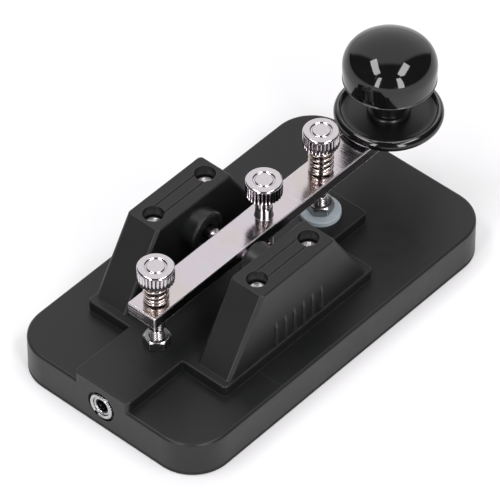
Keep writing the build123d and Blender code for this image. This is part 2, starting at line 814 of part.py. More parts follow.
lug_start = jack_end + wall + jack_length + 0.3
tag_face = contact_x - tag_tail - wire_radius - 0.02
wire_tip = build_wire(
    [(lug_start, -3.27), (-39.0, -3.27), (-32.0, -8.4), (tag_face, -8.4), (tag_face, 1.5)], 5.0
)
finish(wire_tip, "wire_tip")
seat_face = tension_x - tag_tail - wire_radius - 0.02
wire_ground = build_wire(
    [(lug_start, 4.37), (-39.0, 4.37), (-33.0, 8.4), (seat_face, 8.4), (seat_face, -1.5)], 5.0
)
finish(wire_ground, "wire_ground")
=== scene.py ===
import math
import bpy
from mathutils import Matrix, Vector


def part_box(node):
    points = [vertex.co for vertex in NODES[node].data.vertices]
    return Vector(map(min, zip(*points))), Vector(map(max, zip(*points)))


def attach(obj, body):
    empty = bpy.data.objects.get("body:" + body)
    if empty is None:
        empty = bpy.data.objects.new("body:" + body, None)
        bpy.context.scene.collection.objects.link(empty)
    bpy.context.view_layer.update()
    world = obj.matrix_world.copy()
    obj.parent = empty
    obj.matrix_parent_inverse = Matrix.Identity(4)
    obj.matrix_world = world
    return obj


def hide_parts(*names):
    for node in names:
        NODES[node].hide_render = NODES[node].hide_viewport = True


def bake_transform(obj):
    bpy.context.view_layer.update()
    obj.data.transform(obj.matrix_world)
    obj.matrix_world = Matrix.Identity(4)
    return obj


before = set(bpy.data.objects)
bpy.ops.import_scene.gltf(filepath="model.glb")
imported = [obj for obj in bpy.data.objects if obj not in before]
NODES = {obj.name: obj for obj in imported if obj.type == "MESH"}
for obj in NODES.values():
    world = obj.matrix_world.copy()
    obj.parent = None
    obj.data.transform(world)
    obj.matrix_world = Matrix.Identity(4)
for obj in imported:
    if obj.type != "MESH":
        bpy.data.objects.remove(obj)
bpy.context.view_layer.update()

MM = 0.001

# thumbscrews
HEAD_HEIGHT = 5.0 * MM
FLUTES = 28
FLUTE_DEPTH = 0.36 * MM
SHANK = 2.5 * MM
SHANK_ROOT = 2.12 * MM
SCREW_PITCH = 0.8 * MM
NECK = 4.6 * MM
NECK_THREAD = 0.15 * MM
NECK_PITCH = 0.7 * MM
NOSE_RADIUS = 1.7 * MM
NOSE_LENGTH = 2.0 * MM
HEAD_COLUMNS = FLUTES * 12
SHANK_COLUMNS = FLUTES * 2

# springs
CLOSED_SPACING = 2.5
WIRE_COLUMNS = 14
TURN_POINTS = 40
PITCH_EASE = 0.25
GROUND_END = 0.82
SPRING_START = 0.7

# nuts and bolts
BOLT_STEM = 2.0 * MM
BOLT_ROOT = 1.68 * MM
BOLT_PITCH = 0.7 * MM
BOLT_HEAD_HEIGHT = 2.6 * MM
BOLT_COLUMNS = 48
NUT_BORE = 2.01 * MM
NUT_SINK = 0.36 * MM

# tower screws
PAN_RADIUS = 2.8 * MM
PAN_HEIGHT = 2.0 * MM
PAN_DOME = 0.35 * MM
PAN_STEM = 1.45 * MM
RECESS_DEPTH = 1.15 * MM
ROUND_COLUMNS = 96

# jack
RING_BORE = 3.01 * MM
RING_COLUMNS = 180
KNURLS = 30
KNURL_DEPTH = 0.16 * MM
KEY_SLOT_TURN = math.radians(118)
KEY_SLOT_DEPTH = 0.62
SLEEVE_BORE = 1.8 * MM
SLEEVE_COLUMNS = 72
SLEEVE_RIBS = 14
# radius of the painted shade inside the jack sleeve's bore
BORE_SHADE_RADIUS = 2.35 * MM

# pivot pins: how far from the middle the bright cone ends and the painted shade on the pins begins
PIN_SHADE_START = 5.9 * MM

# knob
KNOB_LOW, KNOB_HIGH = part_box("knob_grip")
KNOB_AXIS = (KNOB_LOW.x + KNOB_HIGH.x) / 2
NECK_TOP = KNOB_HIGH.z - 14.8 * MM
LIP_LOW = KNOB_HIGH.z - 14.12 * MM
LIP_HIGH = KNOB_HIGH.z - 13.80 * MM
SKIRT_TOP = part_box("knob_skirt")[1].z
CREST_LOW = SKIRT_TOP - 0.10 * MM
CREST_HIGH = SKIRT_TOP + 0.2 * MM
DISH_RIM = 13.4 * MM
DISH_FLAT = 12.6 * MM


# ---------------------------------------------------------------- materials

class Graph:
    """A node tree with small helpers. coords names the texture coordinates that it works in."""

    def __init__(self, tree, coords):
        self.tree = tree
        self.tree.nodes.clear()
        self.coords = self.tree.nodes.new("ShaderNodeTexCoord").outputs[coords]

    def link(self, a, b):
        self.tree.links.new(a, b)

    def feed(self, node, key, value):
        """Links a socket into an input, or sets the input to a number, vector or colour."""
        socket = node.inputs[key]
        if isinstance(value, bpy.types.NodeSocket):
            self.link(value, socket)
        elif isinstance(value, (tuple, list)) and len(value) == 3 and socket.type == "RGBA":
            socket.default_value = (*value, 1.0)
        else:
            socket.default_value = value

    def mapping(self, scale=(1, 1, 1), rotation=(0, 0, 0), location=(0, 0, 0), source=None):
        node = self.tree.nodes.new("ShaderNodeMapping")
        node.inputs["Scale"].default_value = scale
        node.inputs["Rotation"].default_value = rotation
        node.inputs["Location"].default_value = location
        self.link(source or self.coords, node.inputs["Vector"])
        return node.outputs[0]

    def noise(self, scale, detail=2.0, rough=0.5, distortion=0.0, vector=None):
        node = self.tree.nodes.new("ShaderNodeTexNoise")
        self.link(vector or self.coords, node.inputs["Vector"])
        node.inputs["Scale"].default_value = scale
        node.inputs["Detail"].default_value = detail
        node.inputs["Roughness"].default_value = rough
        node.inputs["Distortion"].default_value = distortion
        return node.outputs["Fac"]

    def cells(self, scale, vector=None):
        node = self.tree.nodes.new("ShaderNodeTexVoronoi")
        self.link(vector or self.coords, node.inputs["Vector"])
        node.inputs["Scale"].default_value = scale
        return node.outputs["Distance"]

    def remap(self, value, a, b, c=0.0, d=1.0, smooth=False):
        node = self.tree.nodes.new("ShaderNodeMapRange")
        if smooth:
            node.interpolation_type = "SMOOTHSTEP"
        self.feed(node, "Value", value)
        for key, number in (("From Min", a), ("From Max", b), ("To Min", c), ("To Max", d)):
            node.inputs[key].default_value = number
        return node.outputs[0]

    def math(self, op, a, b=0.0, c=0.0, clamp=False):
        node = self.tree.nodes.new("ShaderNodeMath")
        node.operation = op
        node.use_clamp = clamp
        for i, value in enumerate((a, b, c)):
            self.feed(node, i, value)
        return node.outputs[0]

    def length(self, a, b):
        """Length of the vector a, b."""
        return self.math("SQRT", self.math("ADD", self.math("MULTIPLY", a, a), self.math("MULTIPLY", b, b)))

    def dot(self, vector):
        """Dot product of the coordinates with a fixed vector."""
        node = self.tree.nodes.new("ShaderNodeVectorMath")
        node.operation = "DOT_PRODUCT"
        self.link(self.coords, node.inputs[0])
        node.inputs[1].default_value = vector
        return node.outputs["Value"]

    def mix(self, factor, a, b):
        node = self.tree.nodes.new("ShaderNodeMix")
        node.data_type = "RGBA"
        for i, value in ((0, factor), (6, a), (7, b)):
            self.feed(node, i, value)
        return node.outputs[2]

    def axis(self, name):
        node = self.tree.nodes.new("ShaderNodeSeparateXYZ")
        self.link(self.coords, node.inputs[0])
        return node.outputs["XYZ".index(name)]


class Paint(Graph):
    """A principled material in the frame's own coordinates, with bumps and a mask for painted edge
    highlights.
    """

    def __init__(self, name, **values):
        self.mat = bpy.data.materials.new(name)
        self.mat.use_nodes = True
        super().__init__(self.mat.node_tree, "Object")
        self.out = self.tree.nodes.new("ShaderNodeOutputMaterial")
        self.bsdf = self.tree.nodes.new("ShaderNodeBsdfPrincipled")
        self.link(self.bsdf.outputs[0], self.out.inputs["Surface"])
        for key, value in values.items():
            self.put(key, value)

    def put(self, key, value):
        """Sets or links one input of the shader, named with underscores for spaces."""
        self.feed(self.bsdf, key.replace("_", " "), value)

    def bump(self, height, distance, strength=1.0, normal=None):
        node = self.tree.nodes.new("ShaderNodeBump")
        node.inputs["Strength"].default_value = strength
        node.inputs["Distance"].default_value = distance
        self.feed(node, "Height", height)
        if normal is not None:
            self.link(normal, node.inputs["Normal"])
        return node.outputs[0]

    def edges(self, radius, low=0.995, high=0.90):
        """1 along edges, 0 on flat faces: the mask for painted edge highlights."""
        bevel = self.tree.nodes.new("ShaderNodeBevel")
        bevel.samples = 4
        bevel.inputs["Radius"].default_value = radius
        dot = self.tree.nodes.new("ShaderNodeVectorMath")
        dot.operation = "DOT_PRODUCT"
        self.link(bevel.outputs[0], dot.inputs[0])
        geometry = self.tree.nodes.new("ShaderNodeNewGeometry")
        self.link(geometry.outputs["Normal"], dot.inputs[1])
        return self.remap(dot.outputs["Value"], low, high, 0.0, 1.0, smooth=True)


DUST = (0.16, 0.155, 0.145)
SCRATCHED = (0.07, 0.07, 0.07)
# painted highlight along the edges of black plastic
EDGE_HIGHLIGHT_BLACK = (0.040, 0.041, 0.040)
# painted highlight line on the knob's lip and the skirt's crest
PAINTED_HIGHLIGHT_GREY = (0.15, 0.15, 0.15)
KNOB_DUST = (0.12, 0.12, 0.115)
# painted highlight along the edges of plated metal
EDGE_HIGHLIGHT_PLATE = (0.95, 0.92, 0.90)
# painted shade on the pivot pins towards their bosses
PIN_SHADE_STEEL = (0.06, 0.055, 0.055)
# painted shade inside the jack sleeve's bore
BORE_SHADE_BLACK = (0.012, 0.012, 0.013)
TARNISH = (0.55, 0.46, 0.36)


def moulded(name, base, rough, grain=1.0, seed=0.0, dust=0.35, edge=0.0):
    """Black moulded ABS: fine grain, flow marks, hair scratches, dust, and edges of width edge painted paler
    as a painted highlight.
    """
    p = Paint(name, Specular_IOR_Level=0.42, IOR=1.5)
    shift = p.mapping(location=(seed, seed * 0.7, -seed))
    broad = p.noise(55, 3, 0.55, vector=shift)
    mid = p.noise(420, 3, 0.6, vector=shift)
    fine = p.noise(5200, 2, 0.6, vector=shift)
    pits = p.cells(3400, vector=shift)
    along = p.mapping(scale=(1, 0.035, 1), rotation=(0, 0, 0.9), source=shift)
    scratch = p.remap(p.noise(900, 2, 0.5, vector=along), 0.70, 0.76, 0.0, 1.0, smooth=True)
    scratch = p.math("MULTIPLY", scratch, p.remap(broad, 0.45, 0.7))
    specks = p.remap(p.cells(620, vector=shift), 0.11, 0.05, 0.0, 1.0, smooth=True)
    specks = p.math("MULTIPLY", specks, p.remap(mid, 0.60, 0.70, 0.0, dust))
    tone = p.remap(broad, 0.3, 0.7, 0.82, 1.18)
    tone = p.math("MULTIPLY", tone, p.remap(fine, 0.3, 0.7, 0.88, 1.12))
    colour = p.mix(tone, (0, 0, 0), base)
    colour = p.mix(specks, colour, DUST)
    colour = p.mix(p.math("MULTIPLY", scratch, 0.25), colour, SCRATCHED)
    if edge:
        # painted highlight: convex edges are painted paler
        edge_highlight = p.math("MULTIPLY", p.edges(edge), p.remap(mid, 0.3, 0.7, 0.55, 1.0))
        colour = p.mix(edge_highlight, colour, EDGE_HIGHLIGHT_BLACK)
    p.put("Base_Color", colour)
    r = p.remap(broad, 0.3, 0.7, rough - 0.04, rough + 0.04)
    r = p.math("ADD", r, p.remap(mid, 0.3, 0.7, -0.03, 0.03))
    r = p.math("ADD", r, p.math("MULTIPLY", scratch, -0.08), clamp=True)
    p.put("Roughness", r)
    height = p.math("ADD", p.math("MULTIPLY", fine, 0.6), p.math("MULTIPLY", pits, 0.4))
    n = p.bump(height, 0.00002 * grain, 0.55)
    n = p.bump(scratch, 0.00001, 0.3, n)
    p.put("Normal", n)
    return p.mat


def gloss(name, base, rough=0.045, seed=0.0, satin=None, highlight_band=None):
    """Polished black knob plastic: faint orange peel, wiping haze and a few hairlines.

    satin(paint) is 1 where it is duller. The last argument gives the two levels of a line painted paler as a
    painted highlight.
    """
    p = Paint(name, Specular_IOR_Level=0.5, IOR=1.52)
    shift = p.mapping(location=(seed, -seed, seed))
    peel = p.noise(130, 2, 0.5, vector=shift)
    haze = p.noise(70, 4, 0.6, 0.6, vector=shift)
    along = p.mapping(scale=(0.04, 1, 0.3), rotation=(0.3, 0.2, 0.6), source=shift)
    hair = p.remap(p.noise(1500, 1, 0.5, vector=along), 0.74, 0.78, 0.0, 1.0, smooth=True)
    dust = p.remap(p.cells(480, vector=shift), 0.07, 0.03, 0.0, 0.5, smooth=True)
    dust = p.math("MULTIPLY", dust, p.remap(haze, 0.5, 0.65))
    colour = p.mix(p.remap(haze, 0.3, 0.7, 0.8, 1.2), (0, 0, 0), base)
    colour = p.mix(dust, colour, KNOB_DUST)
    r = p.remap(haze, 0.4, 0.75, rough, rough + 0.05)
    r = p.math("ADD", r, p.math("MULTIPLY", hair, 0.15), clamp=True)
    if highlight_band:
        # painted highlight: a paler line between the two levels
        low, high = highlight_band
        level = p.axis("Z")
        line = p.remap(level, low, low + 0.06 * MM)
        line = p.math("MULTIPLY", line, p.remap(level, high, high - 0.06 * MM))
        line = p.math("MULTIPLY", line, p.remap(peel, 0.38, 0.62, 0.35, 1.0, smooth=True))
        colour = p.mix(line, colour, PAINTED_HIGHLIGHT_GREY)
        r = p.math("ADD", r, p.math("MULTIPLY", line, 0.2), clamp=True)
    p.put("Base_Color", colour)
    if satin:
        r = p.math("ADD", r, p.math("MULTIPLY", satin(p), 0.24), clamp=True)
    p.put("Roughness", p.math("ADD", r, p.math("MULTIPLY", dust, 0.5), clamp=True))
    p.put("Normal", p.bump(peel, 0.00004, 0.25))
    return p.mat


def knob_neck(p):
    """1 on the waisted neck under the knob's head."""
    return p.remap(p.axis("Z"), NECK_TOP, NECK_TOP - 1.5 * MM, 0.0, 1.0, smooth=True)


def skirt_dish(p):
    """1 in the dish inside the skirt's rim."""
    x = p.math("SUBTRACT", p.axis("X"), KNOB_AXIS)
    y = p.axis("Y")
    return p.remap(p.length(x, y), DISH_RIM, DISH_FLAT, 0.0, 1.0, smooth=True)


def plated(
    name, colour, rough, brush=(1, 1, 1), brush_scale=900, depth=0.4, age=0.25, seed=0.0, relief=0.00002,
    tints=None, edge=0.0, edge_rough=0.45, shank_shade_below=None, painted_bore_shade=None, pin_shade_from=None,
):
    """Plated or turned metal with fine tool marks along one direction, faint tarnish and rub-worn spots.

    tints are two colours that the plate drifts to, and edge is the width of its edges painted paler as a
    painted highlight.
    The last three arguments: a level, and the tone of the painted shade on the shank under it; the end face,
    level and radius of a bore painted black inside as painted shade; and how far from the middle plane a
    pin's bright cone ends, beyond which the pin gets painted shade.
    """
    p = Paint(name, Metallic=1.0)
    shift = p.mapping(location=(seed, seed * 1.3, seed * 0.4))
    lines = p.noise(brush_scale, 3, 0.65, vector=p.mapping(scale=brush, source=shift))
    wide = p.noise(brush_scale * 0.22, 2, 0.5, vector=p.mapping(scale=brush, source=shift))
    cloud = p.noise(140, 4, 0.6, 0.4, vector=shift)
    spots = p.noise(700, 3, 0.7, vector=shift)
    stain = p.remap(cloud, 0.52, 0.78, 0.0, age, smooth=True)
    stain = p.math("MULTIPLY", stain, p.remap(spots, 0.35, 0.7, 0.4, 1.0))
    c = p.mix(stain, colour, TARNISH)
    c = p.mix(p.remap(lines, 0.35, 0.7, 0.0, 0.16), c, tuple(v * 0.72 for v in colour))
    if tints:
        drift = p.noise(75, 2, 0.5, 0.3, vector=shift)
        c = p.mix(p.remap(drift, 0.52, 0.68, 0.0, 0.75, smooth=True), c, tints[0])
        c = p.mix(p.remap(drift, 0.46, 0.30, 0.0, 0.75, smooth=True), c, tints[1])
    r = p.remap(lines, 0.3, 0.7, rough * 0.75, rough * 1.3)
    r = p.math("ADD", r, p.remap(cloud, 0.3, 0.7, -0.2 * rough, 0.35 * rough), clamp=True)
    if pin_shade_from:
        # painted shade: the pin is darkened beyond the bright cone, towards the bosses
        away = p.math("ABSOLUTE", p.axis("Y"))
        c = p.mix(p.remap(away, pin_shade_from, pin_shade_from + 0.5 * MM, 0.0, 1.0, smooth=True), c, PIN_SHADE_STEEL)
    if painted_bore_shade:
        # painted shade: the bore goes black just behind the sleeve's lip
        face, level, reach = painted_bore_shade
        away = p.length(p.math("SUBTRACT", p.axis("Z"), level), p.axis("Y"))
        bore_shade = p.remap(away, reach, reach - 0.1 * MM, 0.0, 1.0, smooth=True)
        bore_shade = p.math("MULTIPLY", bore_shade, p.remap(p.axis("X"), face + 0.1 * MM, face + 0.25 * MM))
        c = p.mix(bore_shade, c, BORE_SHADE_BLACK)
    if shank_shade_below:
        # painted shade: the shank is darkened below the head's underside
        level, tone = shank_shade_below
        shank_shade = p.remap(p.axis("Z"), level, level - 0.15 * MM, 0.0, 1.0, smooth=True)
        c = p.mix(p.math("MULTIPLY", shank_shade, p.remap(spots, 0.3, 0.7, 0.8, 1.0)), c, tone)
    if edge:
        # painted highlight: edges are painted paler and made rougher
        edge_highlight = p.edges(edge)
        c = p.mix(edge_highlight, c, EDGE_HIGHLIGHT_PLATE)
        r = p.mix(edge_highlight, r, (edge_rough, edge_rough, edge_rough))
    p.put("Base_Color", c)
    p.put("Roughness", r)
    height = p.math("ADD", p.math("MULTIPLY", lines, 0.7), p.math("MULTIPLY", wide, 0.5))
    p.put("Normal", p.bump(height, relief, depth))
    return p.mat


def rubber(name, base):
    """Matte rubber sheet with a fine woven grain."""
    p = Paint(name, Specular_IOR_Level=0.35, IOR=1.5)
    grain = p.noise(2600, 3, 0.7)
    broad = p.noise(90, 3, 0.6)
    weave = p.cells(1500)
    p.put("Base_Color", p.mix(p.remap(broad, 0.3, 0.7, 0.75, 1.25), (0, 0, 0), base))
    p.put("Roughness", p.remap(grain, 0.3, 0.7, 0.7, 0.92))
    p.put("Normal", p.bump(p.math("ADD", grain, weave), 0.00006, 0.5))
    return p.mat


def nylon(name):
    """Milky nylon: slightly translucent, bluish, finely scuffed."""
    p = Paint(name, IOR=1.53, Subsurface_Weight=0.25, Subsurface_Scale=0.001)
    p.put("Subsurface_Radius", (1.0, 1.1, 1.2))
    broad = p.noise(300, 3, 0.6)
    fine = p.noise(3000, 3, 0.6)
    p.put("Base_Color", p.mix(p.remap(broad, 0.3, 0.7, 0.0, 1.0), (0.36, 0.42, 0.45), (0.46, 0.52, 0.55)))
    p.put("Roughness", p.remap(fine, 0.3, 0.7, 0.32, 0.5))
    p.put("Normal", p.bump(fine, 0.00002, 0.35))
    return p.mat


def jacket(name, base):
    """Soft plastic insulation of a wire."""
    p = Paint(name, Specular_IOR_Level=0.5, IOR=1.5)
    broad = p.noise(220, 3, 0.6)
    fine = p.noise(2600, 2, 0.6)
    p.put("Base_Color", p.mix(p.remap(broad, 0.3, 0.7, 0.75, 1.2), (0, 0, 0), base))
    p.put("Roughness", p.remap(fine, 0.3, 0.7, 0.32, 0.5))
    p.put("Normal", p.bump(fine, 0.00002, 0.4))
    return p.mat


def head_seat(node):
    """Level of the underside of a thumbscrew's head."""
    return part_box(node)[1].z - HEAD_HEIGHT


def centre(node):
    """Middle of a node's box."""
    low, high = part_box(node)
    return (low + high) / 2


NICKEL = {"colour": (0.66, 0.625, 0.65), "rough": 0.06, "depth": 0.12, "age": 0.12, "seed": 1.0}
# painted shade on the thumbscrews' shanks under their heads: deep for stop and contact, light for tension
DEEP_SHANK_SHADE = (0.10, 0.085, 0.08)
LIGHT_SHANK_SHADE = (0.36, 0.335, 0.33)
KNOB_BLACK = (0.0045, 0.0045, 0.0045)
SLOTS = {
    # the shell's edges get a painted highlight
    "shell_black": moulded("shell_black", (0.0062, 0.0068, 0.0066), 0.40, edge=0.5 * MM),
    "boss_black": moulded("boss_black", (0.0070, 0.0076, 0.0076), 0.38, grain=0.4, seed=3.1, dust=0.15),
    "mat_rubber": rubber("mat_rubber", (0.012, 0.012, 0.012)),
    "screw_steel": plated("screw_steel", (0.50, 0.48, 0.49), 0.22, age=0.35, seed=5.0),
    # three copies of nickel that differ only in the painted shade on their shanks
    "nickel": plated("nickel", **NICKEL, shank_shade_below=(head_seat("tension_screw"), LIGHT_SHANK_SHADE)),
    "nickel_stop": plated("nickel_stop", **NICKEL, shank_shade_below=(head_seat("stop_screw"), DEEP_SHANK_SHADE)),
    "nickel_contact": plated("nickel_contact", **NICKEL, shank_shade_below=(head_seat("contact_screw"), DEEP_SHANK_SHADE)),
    # the nuts' edges get a painted highlight
    "nut_zinc": plated(
        "nut_zinc", (0.27, 0.275, 0.28), 0.20, age=0.3, seed=2.0, edge=0.3 * MM, edge_rough=0.35,
    ),
    # the lever's edges get a painted highlight
    "lever_nickel": plated(
        "lever_nickel", (0.65, 0.60, 0.635), 0.13, brush=(1, 0.03, 1), brush_scale=2000, depth=0.8, age=0.22,
        seed=7.0, relief=0.00005, tints=((0.63, 0.585, 0.555), (0.60, 0.605, 0.66)), edge=0.6 * MM,
    ),
    "spring_nickel": plated("spring_nickel", (0.60, 0.52, 0.485), 0.07, age=0.3, depth=0.12, seed=9.0),
    # painted highlight lines along the knob's lip and the skirt's crest
    "knob_gloss": gloss("knob_gloss", KNOB_BLACK, satin=knob_neck, highlight_band=(LIP_LOW, LIP_HIGH)),
    "skirt_gloss": gloss(
        "skirt_gloss", KNOB_BLACK, rough=0.09, seed=2.0, satin=skirt_dish, highlight_band=(CREST_LOW, CREST_HIGH),
    ),
    # lighter copy of screw_steel for the tower screws: painted light on the heads in their bores
    "screw_steel_lit": plated("screw_steel_lit", (0.93, 0.91, 0.91), 0.48, age=0.3, seed=13.0),
    # the sleeve's bore is painted black as painted shade
    "jack_mouth": plated(
        "jack_mouth", (0.55, 0.55, 0.56), 0.2, age=0.3, seed=15.0,
        painted_bore_shade=(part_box("jack_bush")[0].x, centre("jack_bush").z, BORE_SHADE_RADIUS),
    ),
    "jack_metal": plated("jack_metal", (0.52, 0.52, 0.53), 0.24, age=0.5, depth=0.8, seed=15.0),
    # the pivot pins get painted shade away from their tips
    "pin_steel": plated("pin_steel", (0.62, 0.56, 0.60), 0.30, age=0.3, seed=11.0, pin_shade_from=PIN_SHADE_START),
    "nylon_white": nylon("nylon_white"),
    "tag_brass": plated("tag_brass", (0.82, 0.62, 0.30), 0.24, age=0.3, seed=4.0),
    "jack_black": moulded("jack_black", (0.008, 0.008, 0.008), 0.38, seed=8.0),
    "wire_red": jacket("wire_red", (0.42, 0.025, 0.02)),
    "wire_black": jacket("wire_black", (0.015, 0.015, 0.015)),
}
OWN_FINISH = {"knob_skirt": "skirt_gloss", "pivot_pin_left": "pin_steel", "pivot_pin_right": "pin_steel"}
for name, node in NODES.items():
    for i, material in enumerate(node.data.materials):
        node.data.materials[i] = SLOTS[OWN_FINISH.get(name) or material.name.split(".")[0]]


# ---------------------------------------------------------------- mesh pieces

def make_piece(name, shape, slot, node, body=None, sharp=38, finish=None):
    """A mesh object that stands for one CAD node and hides it, in the finish given or else the slot's
    material. sharp is in degrees.
    """
    mesh = bpy.data.meshes.new(name)
    mesh.from_pydata(shape.verts, [], shape.faces)
    mesh.polygons.foreach_set("use_smooth", [True] * len(mesh.polygons))
    mesh.set_sharp_from_angle(angle=math.radians(sharp))
    mesh.materials.append(SLOTS[finish or slot])
    obj = bpy.data.objects.new(name, mesh)
    bpy.context.scene.collection.objects.link(obj)
    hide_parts(node)
    if body:
        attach(obj, body)
    return obj


def around(x, y, z, radius, count):
    """A ring round the upright axis at x, y; radius is a number or a function of the angle."""
    points = []
    for i in range(count):
        a = 2 * math.pi * i / count
        r = radius(a) if callable(radius) else radius
        points.append((x + r * math.cos(a), y + r * math.sin(a), z))
    return points


class Shape:
    """Collects rings of points round an axis and the faces between them."""

    def __init__(self):
        self.verts = []
        self.faces = []

    def ring(self, points):
        first = len(self.verts)
        self.verts.extend(points)
        return list(range(first, len(self.verts)))

    def join(self, a, b):
        """Quads between two rings of as many points."""
        for i in range(len(a)):
            j = (i + 1) % len(a)
            self.faces.append((a[i], a[j], b[j], b[i]))

    def grow(self, last, x, y, profile, count):
        """Rings of profile's radii and levels, one on the other from ring last up. Returns the top one."""
        for radius, z in profile:
            ring = self.ring(around(x, y, z, radius, count))
            self.join(last, ring)
            last = ring
        return last

    def fan(self, last, x, y, level, count):
        """One more ring, with a multiple of ring last's points."""
        radius, z = level
        ring = self.ring(around(x, y, z, radius, count))
        step = count // len(last)
        for i in range(len(last)):
            j = (i + 1) % len(last)
            for k in range(i * step, (i + 1) * step):
                self.faces.append((last[i], ring[(k + 1) % count], ring[k]))
            self.faces.append((last[i], last[j], ring[(i + 1) * step % count]))
        return ring

    def close(self, rings):
        """Joins each ring to the next and the last to the first."""
        for a, b in zip(rings, rings[1:] + rings[:1]):
            self.join(a, b)

    def cap(self, ring, point, flip=False):
        self.verts.append(point)
        tip = len(self.verts) - 1
        for i in range(len(ring)):
            j = (i + 1) % len(ring)
            self.faces.append((ring[j], ring[i], tip) if flip else (ring[i], ring[j], tip))


def thread_rings(shape, x, y, low, high, crest, root, pitch, count, last):
    """Threaded stretch from low to high, joined to ring last below it. Returns its top ring."""
    steps = round((high - low) / pitch * 10)
    for s in range(steps + 1):
        z = low + (high - low) * s / steps
        edge = min((z - low), (high - z)) / pitch

        def radius(a):
            phase = (z / pitch - a / (2 * math.pi)) % 1.0
            ridge = (0.5 - 0.5 * math.cos(2 * math.pi * phase)) ** 1.3
            return root + (crest - root) * ridge * min(1.0, edge * 1.5 + 0.1)

        last = shape.grow(last, x, y, ((radius, z),), count)
    return last


# thumbscrews: fluted head with a ring groove, finely threaded neck, thread, and a domed or a narrow tip
def fluted(rim, share):
    """Radius of a head's side: round ribs that meet in sharp valleys, at share of their full depth."""
    def radius(a):
        return rim - FLUTE_DEPTH * share * (1 - abs(math.cos(FLUTES * a / 2)))

    return radius


# inset from the rim and drop from the top, in millimetres, and the share of the flutes' depth
HEAD_SIDE = (
    (1.4, 5.0, 0.0), (0.55, 5.0, 0.0), (0.50, 5.0, 0.1), (0.20, 4.96, 0.6), (0.05, 4.88, 0.95),
    (0.0, 4.78, 1.0), (0.0, 2.9, 1.0), (0.0, 0.95, 1.0), (0.0, 0.80, 0.93), (0.0, 0.68, 0.75),
    (0.0, 0.57, 0.4), (0.02, 0.48, 0.1),
)
HEAD_CROWN = (
    (0.05, 0.42), (0.11, 0.33), (0.19, 0.24), (0.28, 0.16), (0.38, 0.09), (0.50, 0.035), (0.62, 0.008),
    (0.74, 0.0),
)
HEAD_GROOVE = (
    (1.98, 0.0), (2.04, 0.02), (2.11, 0.09), (2.20, 0.20), (2.31, 0.30), (2.43, 0.35), (2.55, 0.35),
    (2.66, 0.30), (2.75, 0.20), (2.83, 0.09), (2.89, 0.02), (2.97, 0.0), (4.2, 0.0),
)


def thumbscrew(name, node, body, nose=False, finish=None):
    low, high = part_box(node)
    x, y = centre(node).xy
    size = (high.x - low.x) / 2
    seat = head_seat(node)
    tip = low.z
    shape = Shape()
    if nose:
        tip_radius = NOSE_RADIUS - 0.35 * MM
        tip_profile = (
            (NOSE_RADIUS, tip + 0.35 * MM),
            (NOSE_RADIUS, tip + NOSE_LENGTH - 0.1 * MM),
            (NOSE_RADIUS + 0.1 * MM, tip + NOSE_LENGTH),
            (SHANK_ROOT, tip + NOSE_LENGTH),
        )
        thread_low = tip + NOSE_LENGTH + 0.15 * MM
    else:
        # slightly domed, which stays clear of the bolt when the lever tilts
        tip_radius = 0.8 * MM
        tip_profile = (
            (1.4 * MM, tip + 0.03 * MM),
            (SHANK - 0.75 * MM, tip + 0.08 * MM),
            (SHANK_ROOT, tip + 0.36 * MM),
        )
        thread_low = tip + 0.45 * MM
    first = shape.ring(around(x, y, tip, tip_radius, SHANK_COLUMNS))
    shape.cap(first, (x, y, tip), flip=True)
    last = shape.grow(first, x, y, tip_profile, SHANK_COLUMNS)
    neck = seat - NECK
    last = thread_rings(shape, x, y, thread_low, neck, SHANK, SHANK_ROOT, SCREW_PITCH, SHANK_COLUMNS, last)
    neck_foot = ((SHANK_ROOT + 0.05 * MM, neck + 0.12 * MM), (SHANK - 0.10 * MM, neck + 0.3 * MM))
    last = shape.grow(last, x, y, neck_foot, SHANK_COLUMNS)
    last = thread_rings(
        shape, x, y, neck + 0.4 * MM, seat - 0.4 * MM, SHANK - 0.02 * MM, SHANK - NECK_THREAD, NECK_PITCH,
        SHANK_COLUMNS, last,
    )
    under_head = (
        (SHANK - 0.03 * MM, seat - 0.25 * MM),
        (SHANK + 0.07 * MM, seat - 0.07 * MM),
        (SHANK + 0.25 * MM, seat),
    )
    last = shape.grow(last, x, y, under_head, SHANK_COLUMNS)
    side = [(fluted(size - inset * MM, share), high.z - drop * MM) for inset, drop, share in HEAD_SIDE]
    face = [(size - inset * MM, high.z - drop * MM) for inset, drop in HEAD_CROWN + HEAD_GROOVE]
    last = shape.fan(last, x, y, side[0], HEAD_COLUMNS)
    last = shape.grow(last, x, y, side[1:] + face, HEAD_COLUMNS)
    shape.cap(last, (x, y, high.z))
    return make_piece(name, shape, "nickel", node, body, sharp=50, finish=finish)


thumbscrew("stop_thumbscrew", "stop_screw", "stop_adjuster", finish="nickel_stop")
thumbscrew("tension_thumbscrew", "tension_screw", "tension_adjuster", nose=True)
thumbscrew("contact_thumbscrew", "contact_screw", "contact_adjuster", finish="nickel_contact")


